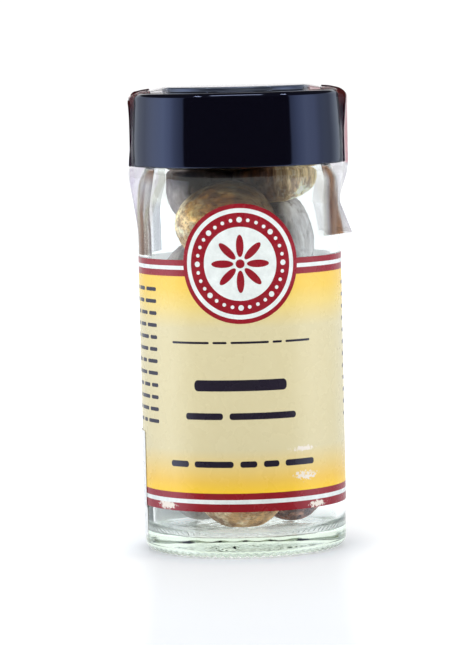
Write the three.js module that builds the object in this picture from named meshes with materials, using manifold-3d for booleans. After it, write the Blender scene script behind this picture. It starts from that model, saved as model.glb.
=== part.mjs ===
// A clear glass spice jar of whole nutmegs, shut with a black stacking cap. It has a printed
// label with a round badge, a film seal over the cap and a small sticker low on the back.
// Millimetres, +Z up. The origin is on the jar's axis, on the plane that the jar stands on.
// The badge faces -Y. An azimuth is counted from the front, and +90 degrees is the +X side.
import * as THREE from "three";
import { mergeVertices } from "three/addons/utils/BufferGeometryUtils.js";
import Module from "manifold-3d";

const wasm = await Module();
wasm.setup();

// Driving dimensions.
const clearance = 0.3; // between pieces that touch
const roundSides = 60; // facets round the jar and its cap
const curveSteps = 3; // facets along each curved stretch of an outline

const jar = {
  radius: 23,
  wall: 2,
  heel: 2.1, // rounding between the wall and the base
  ringInner: 18.2, // the flat ring that the jar stands on
  pushUp: 1.8, // height of the hollow under the base
  floor: 5.2, // the inside of the base, at the axis
  floorEdge: 4.3, // the same, where it turns up into the wall
  corner: 3,
  shoulder: 75, // where the wall starts to turn in
  neckFoot: 87.4,
  neckRadius: 20.8,
  neckWall: 2.2,
  lip: 0.8,
};

const cap = {
  skirtRadius: 24.2,
  topRadius: 23.75,
  wall: 1.5,
  skirtFoot: 87.6,
  ledge: 104.2, // the top face round the disc
  innerTop: 102.8,
  shoulder: 1.25,
  edge: 0.3,
  discRadius: 16.8,
  discTop: 105.4,
  discEdge: 0.5,
};

const label = {
  thickness: 0.2,
  bottom: 10.6,
  top: 67.1,
  reach: 155, // azimuth of its two side edges, in degrees
  badgeRadius: 13.4,
  badgeHeight: 66.2, // of the badge's centre
  standOff: 0.1,
};

const sticker = {
  thickness: 0.2,
  from: -148,
  to: -75,
  bottom: 3.6,
  top: 27.5,
  overLabel: 0.12,
};

const strip = {
  thickness: 0.2,
  width: 31.5,
  azimuth: 90, // of its middle, on the cap's skirt
  tentFoot: 21.6, // radius at which it comes back down to the cap's ledge
  skirtStandOff: 0.35,
  bulge: { standOff: 1.2, from: 87, full: 97 }, // behind these azimuths the right side hangs loose
  left: { end: 67.7, gather: 0.68 }, // each tail narrows by this towards its foot
  right: { end: 71.4, gather: 0.85 },
  flare: { reach: 2.6, start: 0.54, from: 70, full: 88 }, // the right tail's loose back corner
  across: 8,
};

const nut = { sides: 12, rings: 8, coreRadius: 5.5, coreFoot: 12, coreTop: 88 };

// Each nut: centre, length, width, and the tilt of its long axis from upright towards an azimuth.
const nuts = [
  { at: [-1.3, -11.2, 14.7], length: 20.6, width: 18.6, tilt: 82, towards: 84 },
  { at: [-9.6, 6.2, 16.6], length: 23, width: 18.2, tilt: 14, towards: 200 },
  { at: [10.3, 4.7, 16.8], length: 23.6, width: 18.4, tilt: 12, towards: 150 },
  { at: [-10.8, -4.4, 35.2], length: 23, width: 18.4, tilt: 10, towards: 250 },
  { at: [8.8, -7.4, 34.2], length: 22.6, width: 18.2, tilt: 12, towards: 60 },
  { at: [0.6, 11.4, 33], length: 19.8, width: 18, tilt: 74, towards: 80 },
  { at: [4.8, -10.7, 54.2], length: 22.4, width: 18.2, tilt: 66, towards: 100 },
  { at: [-11, 3.2, 58.2], length: 24.6, width: 18.6, tilt: 12, towards: 262 },
  { at: [8.6, 7.4, 49.4], length: 20.4, width: 17.8, tilt: 78, towards: 39 },
  { at: [-3, -9.3, 74], length: 23.2, width: 20.8, tilt: 84, towards: 88 },
  { at: [8.2, 7, 70], length: 21.6, width: 18.4, tilt: 12, towards: 80 },
  { at: [-8, 6.6, 83.6], length: 21.6, width: 17.6, tilt: 10, towards: 290 },
  { at: [8.5, 1.4, 89.4], length: 20.4, width: 18.6, tilt: 20, towards: 160 },
];

const degree = Math.PI / 180;
const material = (color, roughness, metalness = 0) =>
  new THREE.MeshStandardMaterial({ color, roughness, metalness });

// The point at a radius, an azimuth in degrees and a height.
function atAzimuth(radius, azimuth, height) {
  const angle = azimuth * degree;
  return new THREE.Vector3(radius * Math.sin(angle), -radius * Math.cos(angle), height);
}

// Turns an outline of radius and height, which starts and ends on the axis, about Z.
function turned(outline) {
  return new THREE.LatheGeometry(outline.getPoints(curveSteps), roundSides).rotateX(Math.PI / 2);
}

// A closed skin over a grid of points: its inner face is the grid, its outer face stands a
// thickness away along the grid's normals. rows[i][j] runs upwards in i and towards +azimuth in j.
function skin(rows, thickness) {
  const last = rows.length - 1;
  const across = rows[0].length - 1;
  const outer = rows.map((row, i) =>
    row.map((point, j) => {
      const up = new THREE.Vector3().subVectors(
        rows[Math.min(i + 1, last)][j], rows[Math.max(i - 1, 0)][j]);
      const along = new THREE.Vector3().subVectors(
        row[Math.min(j + 1, across)], row[Math.max(j - 1, 0)]);
      return along.cross(up).normalize().multiplyScalar(thickness).add(point);
    }));
  const position = [];
  const quad = (a, b, c, d) => {
    for (const point of [a, b, c, a, c, d]) position.push(point.x, point.y, point.z);
  };
  for (let i = 0; i < last; i++)
    for (let j = 0; j < across; j++) {
      quad(outer[i][j], outer[i][j + 1], outer[i + 1][j + 1], outer[i + 1][j]);
      quad(rows[i][j], rows[i + 1][j], rows[i + 1][j + 1], rows[i][j + 1]);
    }
  for (let j = 0; j < across; j++) {
    quad(rows[0][j], rows[0][j + 1], outer[0][j + 1], outer[0][j]);
    quad(rows[last][j + 1], rows[last][j], outer[last][j], outer[last][j + 1]);
  }
  for (let i = 0; i < last; i++) {
    quad(rows[i + 1][0], rows[i][0], outer[i][0], outer[i + 1][0]);
    quad(rows[i][across], rows[i + 1][across], outer[i + 1][across], outer[i][across]);
  }
  const geometry = new THREE.BufferGeometry();
  geometry.setAttribute("position", new THREE.Float32BufferAttribute(position, 3));
  geometry.computeVertexNormals();
  return geometry;
}

// The glass: base with a push-up, straight wall, short shoulder and plain neck with a round lip.
function glassJar() {
  const inner = jar.radius - jar.wall;
  const neckInner = jar.neckRadius - jar.neckWall;
  const lipTop = cap.innerTop - clearance;
  const outline = new THREE.Path();
  outline.moveTo(0, jar.pushUp);
  outline.quadraticCurveTo(jar.ringInner * 0.7, jar.pushUp, jar.ringInner, 0);
  outline.lineTo(jar.radius - jar.heel, 0);
  outline.quadraticCurveTo(jar.radius, 0, jar.radius, jar.heel);
  outline.lineTo(jar.radius, jar.shoulder);
  outline.bezierCurveTo(
    jar.radius, jar.shoulder + 7, jar.radius - 0.4, jar.neckFoot - 1.2, jar.neckRadius, jar.neckFoot);
  outline.lineTo(jar.neckRadius, lipTop - jar.lip);
  outline.quadraticCurveTo(jar.neckRadius, lipTop, jar.neckRadius - jar.lip, lipTop);
  outline.lineTo(neckInner + jar.lip, lipTop);
  outline.quadraticCurveTo(neckInner, lipTop, neckInner, lipTop - jar.lip);
  outline.lineTo(neckInner, jar.neckFoot + 1.6);
  outline.bezierCurveTo(
    neckInner, jar.neckFoot - 1.2, inner, jar.neckFoot - 1.4, inner, jar.shoulder + 1.5);
  outline.lineTo(inner, jar.floorEdge + jar.corner);
  outline.quadraticCurveTo(inner, jar.floorEdge, inner - jar.corner, jar.floorEdge);
  outline.quadraticCurveTo(inner / 2, jar.floor, 0, jar.floor);
  return turned(outline);
}

// The cap: a slightly tapered skirt, a rounded shoulder, a ledge and a raised stacking disc.
function screwCap() {
  const innerRadius = cap.skirtRadius - cap.wall;
  const outline = new THREE.Path();
  outline.moveTo(0, cap.innerTop);
  outline.lineTo(innerRadius - cap.discEdge, cap.innerTop);
  outline.lineTo(innerRadius, cap.innerTop - cap.discEdge);
  outline.lineTo(innerRadius, cap.skirtFoot);
  outline.lineTo(cap.skirtRadius - cap.edge, cap.skirtFoot);
  outline.quadraticCurveTo(
    cap.skirtRadius, cap.skirtFoot, cap.skirtRadius, cap.skirtFoot + cap.edge);
  outline.lineTo(cap.topRadius, cap.ledge - cap.shoulder);
  outline.quadraticCurveTo(cap.topRadius, cap.ledge, cap.topRadius - cap.shoulder, cap.ledge);
  outline.lineTo(cap.discRadius + cap.edge, cap.ledge);
  outline.lineTo(cap.discRadius, cap.ledge + cap.edge);
  outline.lineTo(cap.discRadius, cap.discTop - cap.discEdge);
  outline.quadraticCurveTo(
    cap.discRadius, cap.discTop, cap.discRadius - cap.discEdge, cap.discTop);
  outline.lineTo(0, cap.discTop);
  return turned(outline);
}

// The label: a skin round the wall, with a half-disc of badge above its top edge.
function wrapLabel() {
  const radius = jar.radius + label.standOff;
  const badgeHalf = Math.asin((label.top - label.badgeHeight) / label.badgeRadius);
  const plainSteps = 22;
  const badgeSteps = 20;
  const columns = []; // azimuth and top height of each upright line of points
  const badgeAzimuth = ((label.badgeRadius * Math.cos(badgeHalf)) / radius) / degree;
  for (let i = 0; i < plainSteps; i++) {
    const azimuth = THREE.MathUtils.lerp(-label.reach, -badgeAzimuth, i / plainSteps);
    columns.push([azimuth, label.top]);
  }
  for (let i = 0; i <= badgeSteps; i++) {
    const turn = Math.PI - badgeHalf - ((Math.PI - 2 * badgeHalf) * i) / badgeSteps;
    const azimuth = ((label.badgeRadius * Math.cos(turn)) / radius) / degree;
    columns.push([azimuth, label.badgeHeight + label.badgeRadius * Math.sin(turn)]);
  }
  for (let i = 1; i <= plainSteps; i++) {
    const azimuth = THREE.MathUtils.lerp(badgeAzimuth, label.reach, i / plainSteps);
    columns.push([azimuth, label.top]);
  }
  const bottomRow = columns.map(([azimuth]) => atAzimuth(radius, azimuth, label.bottom));
  const topRow = columns.map(([azimuth, top]) => atAzimuth(radius, azimuth, top));
  return skin([bottomRow, topRow], label.thickness);
}

// The sticker: it overlaps the foot of the label and steps down to the bare glass below it.
function backSticker() {
  const onGlass = jar.radius + label.standOff;
  const onLabel = onGlass + label.thickness + sticker.overLabel;
  const steps = 12;
  const levels = [
    [onGlass, sticker.bottom],
    [onGlass, label.bottom - 0.9],
    [onLabel, label.bottom - 0.3],
    [onLabel, sticker.top],
  ];
  const rows = levels.map(([radius, height]) =>
    Array.from({ length: steps + 1 }, (_, j) =>
      atAzimuth(radius, THREE.MathUtils.lerp(sticker.from, sticker.to, j / steps), height)));
  return skin(rows, sticker.thickness);
}

// One thread of the film, from the middle of the cap's top down one side. across is -1 at the
// strip's front edge and 1 at its back edge; side is 1 for +X and -1 for -X.
function filmThread(across, side) {
  const half = (strip.width / 2 / cap.skirtRadius) / degree;
  const azimuth = strip.azimuth + across * half;
  const depth = -cap.skirtRadius * Math.cos(azimuth * degree); // its Y on the cap's top
  const over = cap.discTop + clearance / 2;
  const onDisc = Math.sqrt((cap.discRadius - 0.2) ** 2 - depth ** 2);
  const onLedge = Math.sqrt(strip.tentFoot ** 2 - depth ** 2);
  const points = [];
  for (const share of [0, 0.5, 1]) points.push([onDisc * share, depth, over]);
  points.push([(onDisc + onLedge) / 2, depth, (over + cap.ledge + clearance) / 2 + 0.05]);
  points.push([onLedge, depth, cap.ledge + clearance]);

  const { bulge, flare } = strip;
  const loose = side > 0 ? THREE.MathUtils.smoothstep(azimuth, bulge.from, bulge.full) : 0;
  const standOff = THREE.MathUtils.lerp(strip.skirtStandOff, bulge.standOff, loose);
  const skirt = cap.skirtRadius + standOff;
  const turn = Math.atan2(onLedge, -depth) / degree;
  const round = (radius, around, height) => {
    const point = atAzimuth(radius, around, height);
    points.push([point.x, point.y, point.z]);
  };
  round(skirt - 0.75, THREE.MathUtils.lerp(turn, azimuth, 0.6), cap.ledge - 0.05);
  round(skirt - 0.1, THREE.MathUtils.lerp(turn, azimuth, 0.9), cap.ledge - 1.1);
  round(skirt, azimuth, cap.ledge - 3);
  round(skirt, azimuth, (cap.ledge + cap.skirtFoot) / 2);
  round(skirt, azimuth, cap.skirtFoot);

  // Below the cap the tail swings in to the glass. On the right its back corner springs off it.
  const { end, gather } = side > 0 ? strip.right : strip.left;
  const glass = jar.radius + clearance / 2;
  const onGlass = strip.azimuth + (across * half * gather * cap.skirtRadius) / glass;
  const sprung = flare.reach
    * (side > 0 ? THREE.MathUtils.smoothstep(azimuth, flare.from, flare.full) : 0);
  const steps = 9;
  for (let i = 1; i <= steps; i++) {
    const down = i / steps;
    const swing = THREE.MathUtils.smoothstep(down, 0, side > 0 ? 0.62 : 0.85);
    const open = Math.max(0, (down - flare.start) / (1 - flare.start));
    const radius = THREE.MathUtils.lerp(skirt, glass, swing) + sprung * open;
    const around = THREE.MathUtils.lerp(azimuth, onGlass, THREE.MathUtils.smoothstep(down, 0, 0.33));
    round(radius, around, THREE.MathUtils.lerp(cap.skirtFoot, end, down));
  }
  return points.map(([x, y, z]) => new THREE.Vector3(side * x, y, z));
}

// The film seal: one strip, from the foot of the left tail over the cap to the right one's.
function sealStrip() {
  const threads = [];
  for (let j = 0; j <= strip.across; j++) {
    const across = THREE.MathUtils.lerp(-1, 1, j / strip.across);
    const left = filmThread(across, -1).slice(1).reverse();
    threads.push([...left, ...filmThread(across, 1)]);
  }
  const rows = threads[0].map((_, i) => threads.map((thread) => thread[i])).reverse();
  return skin(rows, strip.thickness);
}

// One nut: an ovoid, blunter at its foot than at its tip.
function nutShape({ at, length, width, tilt, towards }) {
  const geometry = new THREE.SphereGeometry(1, nut.sides, nut.rings);
  const position = geometry.getAttribute("position");
  for (let i = 0; i < position.count; i++) {
    const along = position.getY(i);
    const girth = (width / 2) * (1 - 0.07 * along - 0.03 * along * along);
    position.setXYZ(i, position.getX(i) * girth, (along * length) / 2, position.getZ(i) * girth);
  }
  const lean = atAzimuth(1, towards, 0).cross(new THREE.Vector3(0, 0, 1)).negate();
  geometry.rotateX(Math.PI / 2);
  geometry.applyMatrix4(new THREE.Matrix4().makeRotationAxis(lean.normalize(), tilt * degree));
  return geometry.translate(...at);
}

function solid(geometry) {
  for (const name of ["normal", "uv"]) geometry.deleteAttribute(name);
  const merged = mergeVertices(geometry, 1e-4);
  return new wasm.Manifold(new wasm.Mesh({
    numProp: 3,
    vertProperties: merged.getAttribute("position").array,
    triVerts: new Uint32Array(merged.index.array),
  }));
}

// The heap of nutmegs: every nut fused to a slim core on the jar's axis.
function nutHeap() {
  const coreHeight = nut.coreTop - nut.coreFoot;
  const core = new THREE.CylinderGeometry(nut.coreRadius, nut.coreRadius, coreHeight, nut.sides)
    .rotateX(Math.PI / 2)
    .translate(0, 0, nut.coreFoot + coreHeight / 2);
  let heap = solid(core);
  for (const one of nuts) heap = heap.add(solid(nutShape(one)));
  const { vertProperties, triVerts } = heap.getMesh();
  const geometry = new THREE.BufferGeometry();
  geometry.setAttribute("position", new THREE.BufferAttribute(vertProperties, 3));
  geometry.setIndex(new THREE.BufferAttribute(triVerts, 1));
  geometry.computeVertexNormals();
  return geometry;
}

const pieces = {
  glass_jar: [glassJar(), material(0xdfeee4, 0.05)],
  cap: [screwCap(), material(0x0a0a10, 0.22)],
  label: [wrapLabel(), material(0xeadcae, 0.55)],
  back_sticker: [backSticker(), material(0xf2f2f0, 0.6)],
  seal_strip: [sealStrip(), material(0xb89a94, 0.15)],
  nutmegs: [nutHeap(), material(0x8a6f52, 0.75)],
};

const spiceJar = new THREE.Group();
for (const [name, [geometry, finish]] of Object.entries(pieces)) {
  const mesh = new THREE.Mesh(geometry, finish);
  mesh.name = name;
  spiceJar.add(mesh);
}

export default spiceJar;
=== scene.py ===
import math
import random

import bmesh
import bpy
from mathutils import Matrix, Vector, noise
from mathutils.geometry import interpolate_bezier


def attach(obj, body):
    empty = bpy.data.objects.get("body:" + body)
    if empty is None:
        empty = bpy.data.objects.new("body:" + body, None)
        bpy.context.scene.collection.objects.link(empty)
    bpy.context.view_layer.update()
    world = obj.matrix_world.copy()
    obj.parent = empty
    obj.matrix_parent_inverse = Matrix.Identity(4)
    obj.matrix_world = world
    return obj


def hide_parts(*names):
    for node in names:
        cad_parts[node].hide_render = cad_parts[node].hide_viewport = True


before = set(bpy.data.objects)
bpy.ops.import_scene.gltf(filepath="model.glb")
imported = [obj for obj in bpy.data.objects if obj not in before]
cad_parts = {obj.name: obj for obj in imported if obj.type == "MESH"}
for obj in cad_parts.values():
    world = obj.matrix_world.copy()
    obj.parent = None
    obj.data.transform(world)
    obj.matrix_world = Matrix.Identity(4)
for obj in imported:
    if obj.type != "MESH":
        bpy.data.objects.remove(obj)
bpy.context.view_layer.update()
mm = 0.001
mergeDistance = 1e-7
random.seed(5)
print("frame loaded")


# ---- helpers used by every piece

def aroundJar(radius, azimuth, height):  # all in metres and radians, azimuth 0 is the front
    return Vector((radius * math.sin(azimuth), -radius * math.cos(azimuth), height))


def aboutAxis(point):  # its radius in millimetres, azimuth, and height in millimetres
    return math.hypot(point.x, point.y) / mm, math.atan2(point.x, -point.y), point.z / mm


def at(radius, height):  # a point of an outline that gets turned, from millimetres
    return Vector((radius * mm, 0, height * mm))


def partWay(low, high, share):
    return low + (high - low) * share


def easeIn(value):  # 0 below 0, 1 above 1 and smooth between them
    value = min(1, max(0, value))
    return value * value * (3 - 2 * value)


def roundTo(outline, corner, end, steps, pull=0.55):
    start = outline[-1]
    curve = interpolate_bezier(
        start, start.lerp(corner, pull), end.lerp(corner, pull), end, steps + 1)
    outline.extend(curve[1:])


def spinLine(bm, points, steps):  # once round the Z axis
    verts = [bm.verts.new(point) for point in points]
    edges = [bm.edges.new(pair) for pair in zip(verts, verts[1:])]
    bmesh.ops.spin(bm, geom=verts + edges, cent=(0, 0, 0), axis=(0, 0, 1),
                   angle=2 * math.pi, steps=steps, use_merge=True)


def turnOutline(outline, steps):
    bm = bmesh.new()
    spinLine(bm, outline, steps)
    bmesh.ops.remove_doubles(bm, verts=bm.verts, dist=mergeDistance)
    bmesh.ops.recalc_face_normals(bm, faces=bm.faces)
    return bm


def faceOut(bm):  # an open sheet round the jar has its outer side away from the axis
    bmesh.ops.recalc_face_normals(bm, faces=bm.faces)
    face = next(iter(bm.faces))
    centre = face.calc_center_median()
    if face.normal.dot(Vector((centre.x, centre.y, 0))) < 0:
        bmesh.ops.reverse_faces(bm, faces=bm.faces)


def newMesh(name, bm):
    mesh = bpy.data.meshes.new(name)
    bm.to_mesh(mesh)
    bm.free()
    return mesh


def newObject(name, data):
    made = bpy.data.objects.new(name, data)
    bpy.context.scene.collection.objects.link(made)
    return made


def makePiece(name, bm, materials, replaced=(), smooth=True):
    for face in bm.faces:
        face.smooth = smooth
    for edge in bm.edges:
        edge.smooth = not edge.is_boundary
    mesh = newMesh(name, bm)
    for material in materials:
        mesh.materials.append(material)
    piece = newObject(name, mesh)
    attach(piece, "root")
    if replaced:
        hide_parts(*replaced)
    return piece


def thicken(piece, thickness, offset, backing=0):
    solidify = piece.modifiers.new("thickness", "SOLIDIFY")
    solidify.thickness = thickness
    solidify.offset = offset
    solidify.use_even_offset = True
    solidify.material_offset = backing
    return solidify


def newMaterial(name, sockets):
    material = bpy.data.materials.new(name)
    material.use_nodes = True
    shader = material.node_tree.nodes["Principled BSDF"]
    for socket, value in sockets.items():
        shader.inputs[socket].default_value = value
    return material, shader


def addNode(owner, kind, inputs, **settings):  # owner is a material or the world
    tree = owner.node_tree
    node = tree.nodes.new("ShaderNode" + kind)
    for key, value in settings.items():
        setattr(node, key, value)
    for key, value in inputs.items():
        if isinstance(value, bpy.types.NodeSocket):
            tree.links.new(value, node.inputs[key])
        else:
            node.inputs[key].default_value = value
    return node


def feed(node, socket, source):
    node.id_data.links.new(source, node.inputs[socket])


def addRamp(material, factor, stops):  # a grey stop may be one number
    node = addNode(material, "ValToRGB", {0: factor})
    ramp = node.color_ramp
    while len(ramp.elements) < len(stops):
        ramp.elements.new(0.5)
    for element, (position, colour) in zip(ramp.elements, stops):
        element.position = position
        element.color = (*(colour if isinstance(colour, tuple) else [colour] * 3), 1)
    return node.outputs[0]


def addNoise(material, where, scale, detail=3, roughness=0.5):
    node = addNode(material, "TexNoise", {
        "Vector": where, "Scale": scale, "Detail": detail, "Roughness": roughness})
    return node.outputs["Fac"]


def mathNode(owner, operation, *values):
    return addNode(owner, "Math", dict(enumerate(values)), operation=operation).outputs[0]


def vectorNode(owner, operation, *values):
    node = addNode(owner, "VectorMath", dict(enumerate(values)), operation=operation)
    return node.outputs["Value" if operation == "LENGTH" else "Vector"]


def mixColours(material, factor, first, second, blend="MIX"):
    node = addNode(material, "Mix", {0: factor, 6: first, 7: second},
                   data_type="RGBA", blend_type=blend)
    return node.outputs[2]


def remap(material, value, low, high, newLow=0, newHigh=1):
    node = addNode(material, "MapRange", {
        "Value": value, "From Min": low, "From Max": high,
        "To Min": newLow, "To Max": newHigh})
    return node.outputs[0]


def addBump(material, shader, height, strength, distance):
    bump = addNode(material, "Bump", {
        "Height": height, "Strength": strength, "Distance": distance})
    feed(shader, "Normal", bump.outputs[0])


def objectSpace(material):
    return addNode(material, "TexCoord", {}).outputs["Object"]


def heightOf(material, where):
    return addNode(material, "SeparateXYZ", {0: where}).outputs["Z"]


def attribute(material, name, output="Color"):
    return addNode(material, "Attribute", {}, attribute_name=name).outputs[output]


def linear(red, green, blue):  # an sRGB colour of 0 to 255, as the shaders want it
    def one(value):
        value /= 255
        return value / 12.92 if value <= 0.04045 else ((value + 0.055) / 1.055) ** 2.4
    return one(red), one(green), one(blue)


# ---- camera

cameraSetup = {  # metres, and millimetres for the lens and the sensor
    "distance": 0.84, "height": 0.118, "aimHeight": 0.05134, "sideways": -0.002,
    "roll": 1.35,  # degrees
    "lens": 205.6, "sensor": 36, "clipStart": 0.05,
}


def makeCamera(setup):
    data = bpy.data.cameras.new("camera")
    data.lens = setup["lens"]
    data.sensor_width = setup["sensor"]
    data.clip_start = setup["clipStart"]
    camera = newObject("camera", data)
    place = Vector((setup["sideways"], -setup["distance"], setup["height"]))
    aim = Vector((setup["sideways"], 0, setup["aimHeight"]))
    look = (aim - place).to_track_quat("-Z", "Y").to_matrix().to_4x4()
    camera.matrix_world = (
        Matrix.Translation(place) @ look @ Matrix.Rotation(math.radians(-setup["roll"]), 4, "Z"))
    bpy.context.scene.camera = camera


makeCamera(cameraSetup)
print("camera placed")


# ---- glass jar

glass = {  # millimetres
    "radius": 23, "wall": 2, "heel": 2.1, "ringInner": 18.2, "pushUp": 1.8,
    "floor": 5.2, "floorEdge": 4.3, "corner": 3, "shoulder": 75,
    "neckFoot": 87.4, "neckRadius": 20.8, "neckInner": 18.6, "lip": 0.8, "lipTop": 102.5,
    "steps": 444,  # round the jar, six for each knurl
    "knurls": 74, "knurlDepth": 0.34, "knurlHeight": 1.5,
    "streakDepth": 0.16, "streakReach": 20.9,
}


def glassMaterial():
    material, _ = newMaterial("clearJarGlass", {
        "Base Color": (0.985, 1.0, 0.99, 1), "Roughness": 0.0, "IOR": 1.52,
        "Transmission Weight": 1.0})
    tint = addNode(material, "VolumeAbsorption", {"Color": (0.8, 0.97, 0.76, 1), "Density": 15.0})
    feed(material.node_tree.nodes["Material Output"], "Volume", tint.outputs[0])
    return material


def glassOutline(g):  # from the middle of the base, up the outside and down the inside
    radius, inner, heel = g["radius"], g["radius"] - g["wall"], g["heel"]
    ring, shoulder, foot, floor = g["ringInner"], g["shoulder"], g["neckFoot"], g["floorEdge"]
    neck, bore, lip, top = g["neckRadius"], g["neckInner"], g["lip"], g["lipTop"]
    outline = [at(0, g["pushUp"])]
    roundTo(outline, at(ring * 0.7, g["pushUp"]), at(ring, 0), 22)
    outline += [at((ring + radius - heel) / 2, 0), at(radius - heel, 0)]
    roundTo(outline, at(radius, 0), at(radius, heel), 8)
    outline.append(at(radius, shoulder))
    outline += interpolate_bezier(outline[-1], at(radius, shoulder + 7),
                                  at(radius - 0.4, foot - 1.2), at(neck, foot), 15)[1:]
    outline.append(at(neck, top - lip))
    roundTo(outline, at(neck, top), at(neck - lip, top), 4)
    outline.append(at(bore + lip, top))
    roundTo(outline, at(bore, top), at(bore, top - lip), 4)
    outline.append(at(bore, foot + 1.6))
    outline += interpolate_bezier(outline[-1], at(bore, foot - 1.2),
                                  at(inner, foot - 1.4), at(inner, shoulder + 1.5), 15)[1:]
    outline.append(at(inner, floor + g["corner"]))
    roundTo(outline, at(inner, floor), at(inner - g["corner"], floor), 10)
    roundTo(outline, at(inner / 2, g["floor"]), at(0, g["floor"]), 34)
    return outline


def knurlFoot(bm, g):  # raised knurls under the bearing ring, so light gets in between them
    for vert in bm.verts:
        radius, azimuth, height = aboutAxis(vert.co)
        if height > g["knurlHeight"] or radius < g["ringInner"] + 0.5:
            continue
        gap = max(0, math.cos(azimuth * g["knurls"])) ** 0.7
        vert.co.z += gap * g["knurlDepth"] * mm * (1 - height / g["knurlHeight"])


def streakBase(bm, g):  # the cooled skin of the glass is wavy, in long streaks round the base
    for vert in bm.verts:
        radius, azimuth, height = aboutAxis(vert.co)
        onFloor = g["floorEdge"] - 0.3 < height < g["floorEdge"] + g["corner"]
        under = height < g["pushUp"] + 0.1 and radius < g["ringInner"]
        if not (under or onFloor and radius < g["streakReach"]):
            continue
        place = Vector((math.cos(azimuth) * 2.4, math.sin(azimuth) * 2.4, radius * 0.62))
        wave = noise.noise(place) + 0.5 * noise.noise(place * 2.3)
        fade = min(1, radius / 6) * min(1, (21 - radius) / 1.5)
        vert.co.z = max(0, vert.co.z + wave * g["streakDepth"] * mm * fade)


def makeGlass(g):
    bm = turnOutline(glassOutline(g), g["steps"])
    streakBase(bm, g)
    knurlFoot(bm, g)
    makePiece("jarGlass", bm, [glassMaterial()], ["glass_jar"])


makeGlass(glass)
print("glass jar made")


# ---- cap

cap = {  # millimetres
    "skirtRadius": 24.2, "topRadius": 23.75, "wall": 1.5, "skirtFoot": 87.6, "ledge": 104.2,
    "innerTop": 102.8, "shoulder": 1.25, "edge": 0.35, "discRadius": 16.8, "discTop": 105.4,
    "discEdge": 0.45,
    "bandHeight": 93.2, "bandProud": 0.16, "bandSpread": 4.5,
    "rows": 30, "steps": 240,
}


def capMaterial():
    material, shader = newMaterial("blackCapPlastic", {
        "IOR": 1.6, "Specular Tint": (0.5, 0.6, 0.95, 1)})
    where = objectSpace(material)
    speckle = addNoise(material, where, 900, 2)
    haze = addNoise(material, where, 60, 4)
    feed(shader, "Roughness", remap(material, haze, 0.3, 0.7, 0.035, 0.07))
    # painted reflection: the disc top under the film is painted a lighter grey-blue in streaks, in
    # place of the film's reflection
    onDisc = remap(material, heightOf(material, where), 104.3 * mm, 104.5 * mm)
    streak = addNoise(material, vectorNode(material, "MULTIPLY", where, (1, 1, 40)), 120, 2)
    paintedDiscReflection = addRamp(material, streak, [(0.35, (0.03, 0.036, 0.06)), (0.65, (0.13, 0.15, 0.18))])
    feed(shader, "Base Color", mixColours(material, onDisc, (0.0030, 0.0028, 0.0064, 1), paintedDiscReflection))
    addBump(material, shader, speckle, 0.03, 0.00002)
    return material


def capSkirt(height):  # the skirt's radius: it tapers, and swells a little where the hand grips it
    foot, head = cap["skirtFoot"] + cap["edge"], cap["ledge"] - cap["shoulder"]
    rise = (height - foot) / (head - foot)
    swell = cap["bandProud"] * math.exp(-((height - cap["bandHeight"]) / cap["bandSpread"]) ** 2)
    return partWay(cap["skirtRadius"], cap["topRadius"], rise) + swell


def makeCap(c):
    skirt, foot, edge, inside = c["skirtRadius"], c["skirtFoot"], c["edge"], c["innerTop"]
    ledge, disc, top, inner = c["ledge"], c["discRadius"], c["discTop"], skirt - c["wall"]
    outline = [at(0, inside), at(inner - 0.8, inside)]
    roundTo(outline, at(inner, inside), at(inner, inside - 0.8), 3)
    outline += [at(inner, foot), at(skirt - edge, foot)]
    roundTo(outline, at(skirt, foot), at(skirt, foot + edge), 5)
    for row in range(1, c["rows"] + 1):
        height = partWay(foot + edge, ledge - c["shoulder"], row / c["rows"])
        outline.append(at(capSkirt(height), height))
    roundTo(outline, at(c["topRadius"], ledge),
            at(c["topRadius"] - c["shoulder"], ledge - 0.05), 9)
    outline.append(at(disc + 0.35, ledge))
    roundTo(outline, at(disc + 0.08, ledge), at(disc + 0.05, ledge + 0.3), 3)
    outline.append(at(disc, top - c["discEdge"]))
    roundTo(outline, at(disc, top), at(disc - c["discEdge"], top), 6)
    outline += [at(disc - 1.2, top), at(0, top)]
    makePiece("blackCap", turnOutline(outline, c["steps"]), [capMaterial()], ["cap"])


makeCap(cap)
print("cap made")


# ---- label, badge and print

label = {  # millimetres and degrees
    "inner": 22.97, "outer": 23.14, "reach": 155,
    "columns": 240, "badgeHeight": 66.2, "badgeProud": 0.03, "badgeSteps": 144,
    "bands": [  # foot, head and ink of each band, from the bottom up
        (10.6, 12.4, "red"), (12.4, 13.36, "white"), (13.36, 14.8, "red"), (14.8, 63.45, "ground"),
        (63.45, 64.9, "red"), (64.9, 65.8, "white"), (65.8, 67.1, "red"),
    ],
    "badgeRings": [  # outer radius and ink, from the middle out
        (8.24, "white"), (11.4, "badgeRed"), (12.4, "white"), (13.4, "badgeRed"),
    ],
}


def paperFinish(material, shader):
    where = objectSpace(material)
    fibre = addNoise(material, where, 2600, 4, 0.6)
    sheen = addNoise(material, where, 220, 3)
    feed(shader, "Roughness", remap(material, sheen, 0.3, 0.7, 0.22, 0.33))
    addBump(material, shader, fibre, 0.12, 0.00002)
    return where


def inkMaterial(name, colour, worn=(), glow=0):  # glow is painted light: the paper gives off light of its own in place of daylight coming through it
    material, shader = newMaterial(name, {
        "IOR": 1.45, "Emission Color": (0.93, 0.96, 1, 1), "Emission Strength": glow})
    where = paperFinish(material, shader)
    tone = addNoise(material, where, 500, 5, 0.6)
    dark = tuple(0.9 * c for c in colour)
    light = tuple(min(1, 1.08 * c) for c in colour)
    printed = addRamp(material, tone, [(0.3, dark), (0.7, light)])
    if worn:
        printed = scuffed(material, where, printed, worn)
    feed(shader, "Base Color", printed)
    return material


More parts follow.
